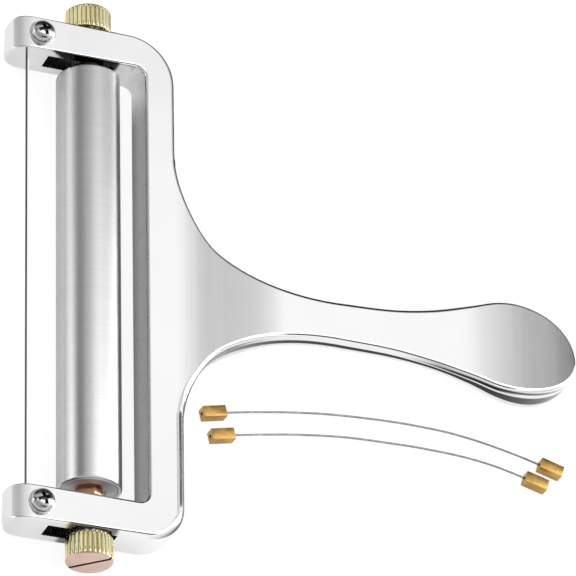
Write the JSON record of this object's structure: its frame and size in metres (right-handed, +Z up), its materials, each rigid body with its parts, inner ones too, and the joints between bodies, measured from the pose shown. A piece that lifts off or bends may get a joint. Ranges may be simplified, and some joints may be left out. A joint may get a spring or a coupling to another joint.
{
  "type": "wire cheese slicer",
  "caption": "Adjustable wire cheese slicer: a cast frame with handle, a taut cutting wire, a thickness roller on thumbscrews in toothed slots, and spare wires.",
  "frame": {"origin": "on the table plane under the middle of the slicer's length and width; the roller's lowest line touches that plane", "axes": "+X from the cutting wire towards the handle's end, +Y along the roller towards the arm drawn at the top of the picture, +Z up out of the front face"},
  "size_m": [0.1422, 0.1442, 0.0152],
  "materials": {
    "chrome_plate": "polished chrome plate on a zinc casting",
    "roller_steel": "stainless steel, brushed around",
    "cap_steel": "turned and polished steel",
    "screw_steel": "bright plated steel",
    "wire_steel": "drawn stainless wire",
    "knob_brass": "knurled brass with a pinkish turned end face",
    "bush_brass": "copper-coloured turned brass",
    "block_brass": "cut brass bar, dull"
  },
  "bodies": {
    "frame_body": {"frame": "chrome_plate", "cutting_wire": "wire_steel", "tension_washer_top": "screw_steel", "tension_washer_bottom": "screw_steel"},
    "carriage": {"axle_rod": "cap_steel", "axle_bush_top": "bush_brass", "axle_bush_bottom": "bush_brass"},
    "roller": {"roller_tube": "roller_steel", "roller_cap_top": "cap_steel", "roller_cap_bottom": "cap_steel"},
    "thumb_washer_top_body": {"thumb_washer_top": "screw_steel"},
    "thumb_top": {"thumbscrew_top": "knob_brass"},
    "tension_top": {"tension_screw_top": "screw_steel"},
    "block_top": {"wire_block_top": "block_brass", "wire_tail_top": "wire_steel"},
    "thumb_washer_bottom_body": {"thumb_washer_bottom": "screw_steel"},
    "thumb_bottom": {"thumbscrew_bottom": "knob_brass"},
    "tension_bottom": {"tension_screw_bottom": "screw_steel"},
    "block_bottom": {"wire_block_bottom": "block_brass", "wire_tail_bottom": "wire_steel"},
    "spare_1": {"spare_wire_1": "wire_steel", "spare_block_1_left": "block_brass", "spare_block_1_right": "block_brass"},
    "spare_2": {"spare_wire_2": "wire_steel", "spare_block_2_left": "block_brass", "spare_block_2_right": "block_brass"}
  },
  "joints": [
    {"name": "carriage_slide", "type": "slide", "parent": "frame_body", "child": "carriage", "axis": [1, 0, 0], "range_m": [-0.0065, 0.0036]},
    {"name": "roller_spin", "type": "hinge", "parent": "carriage", "child": "roller", "pos_m": [-0.05067, 0, 0.0075], "axis": [0, 1, 0], "continuous": true},
    {"name": "thumb_top_lift", "type": "slide", "parent": "carriage", "child": "thumb_washer_top_body", "axis": [0, 1, 0], "range_m": [0, 0.00105]},
    {"name": "thumb_top_turn", "type": "hinge", "parent": "thumb_washer_top_body", "child": "thumb_top", "pos_m": [-0.05067, 0, 0.0075], "axis": [0, 1, 0], "range_deg": [0, 560]},
    {"name": "tension_top_turn", "type": "hinge", "parent": "frame_body", "child": "tension_top", "pos_m": [-0.06387, 0.06125, 0.0075], "axis": [0, 0, 1], "range_deg": [0, 1150]},
    {"name": "block_top_drop", "type": "slide", "parent": "frame_body", "child": "block_top", "axis": [0, 0, -1], "range_m": [0, 0.0012], "deforming": ["wire_tail_top"]},
    {"name": "thumb_bottom_lift", "type": "slide", "parent": "carriage", "child": "thumb_washer_bottom_body", "axis": [0, -1, 0], "range_m": [0, 0.00105]},
    {"name": "thumb_bottom_turn", "type": "hinge", "parent": "thumb_washer_bottom_body", "child": "thumb_bottom", "pos_m": [-0.05067, 0, 0.0075], "axis": [0, -1, 0], "range_deg": [0, 560]},
    {"name": "tension_bottom_turn", "type": "hinge", "parent": "frame_body", "child": "tension_bottom", "pos_m": [-0.06387, -0.06125, 0.0075], "axis": [0, 0, 1], "range_deg": [0, 1150]},
    {"name": "block_bottom_drop", "type": "slide", "parent": "frame_body", "child": "block_bottom", "axis": [0, 0, -1], "range_m": [0, 0.0012], "deforming": ["wire_tail_bottom"]},
    {"name": "spare_1_lift", "type": "slide", "parent": "frame_body", "child": "spare_1", "axis": [0, 0, 1], "range_m": [0, 0.04]},
    {"name": "spare_2_lift", "type": "slide", "parent": "frame_body", "child": "spare_2", "axis": [0, 0, 1], "range_m": [0, 0.04]}
  ],
  "couplings": [
    {"joint": "thumb_top_turn", "follows": "thumb_top_lift", "rad_per_m": 8976},
    {"joint": "tension_top_turn", "follows": "block_top_drop", "rad_per_m": 15708},
    {"joint": "thumb_bottom_turn", "follows": "thumb_bottom_lift", "rad_per_m": 8976},
    {"joint": "tension_bottom_turn", "follows": "block_bottom_drop", "rad_per_m": 15708}
  ]
}
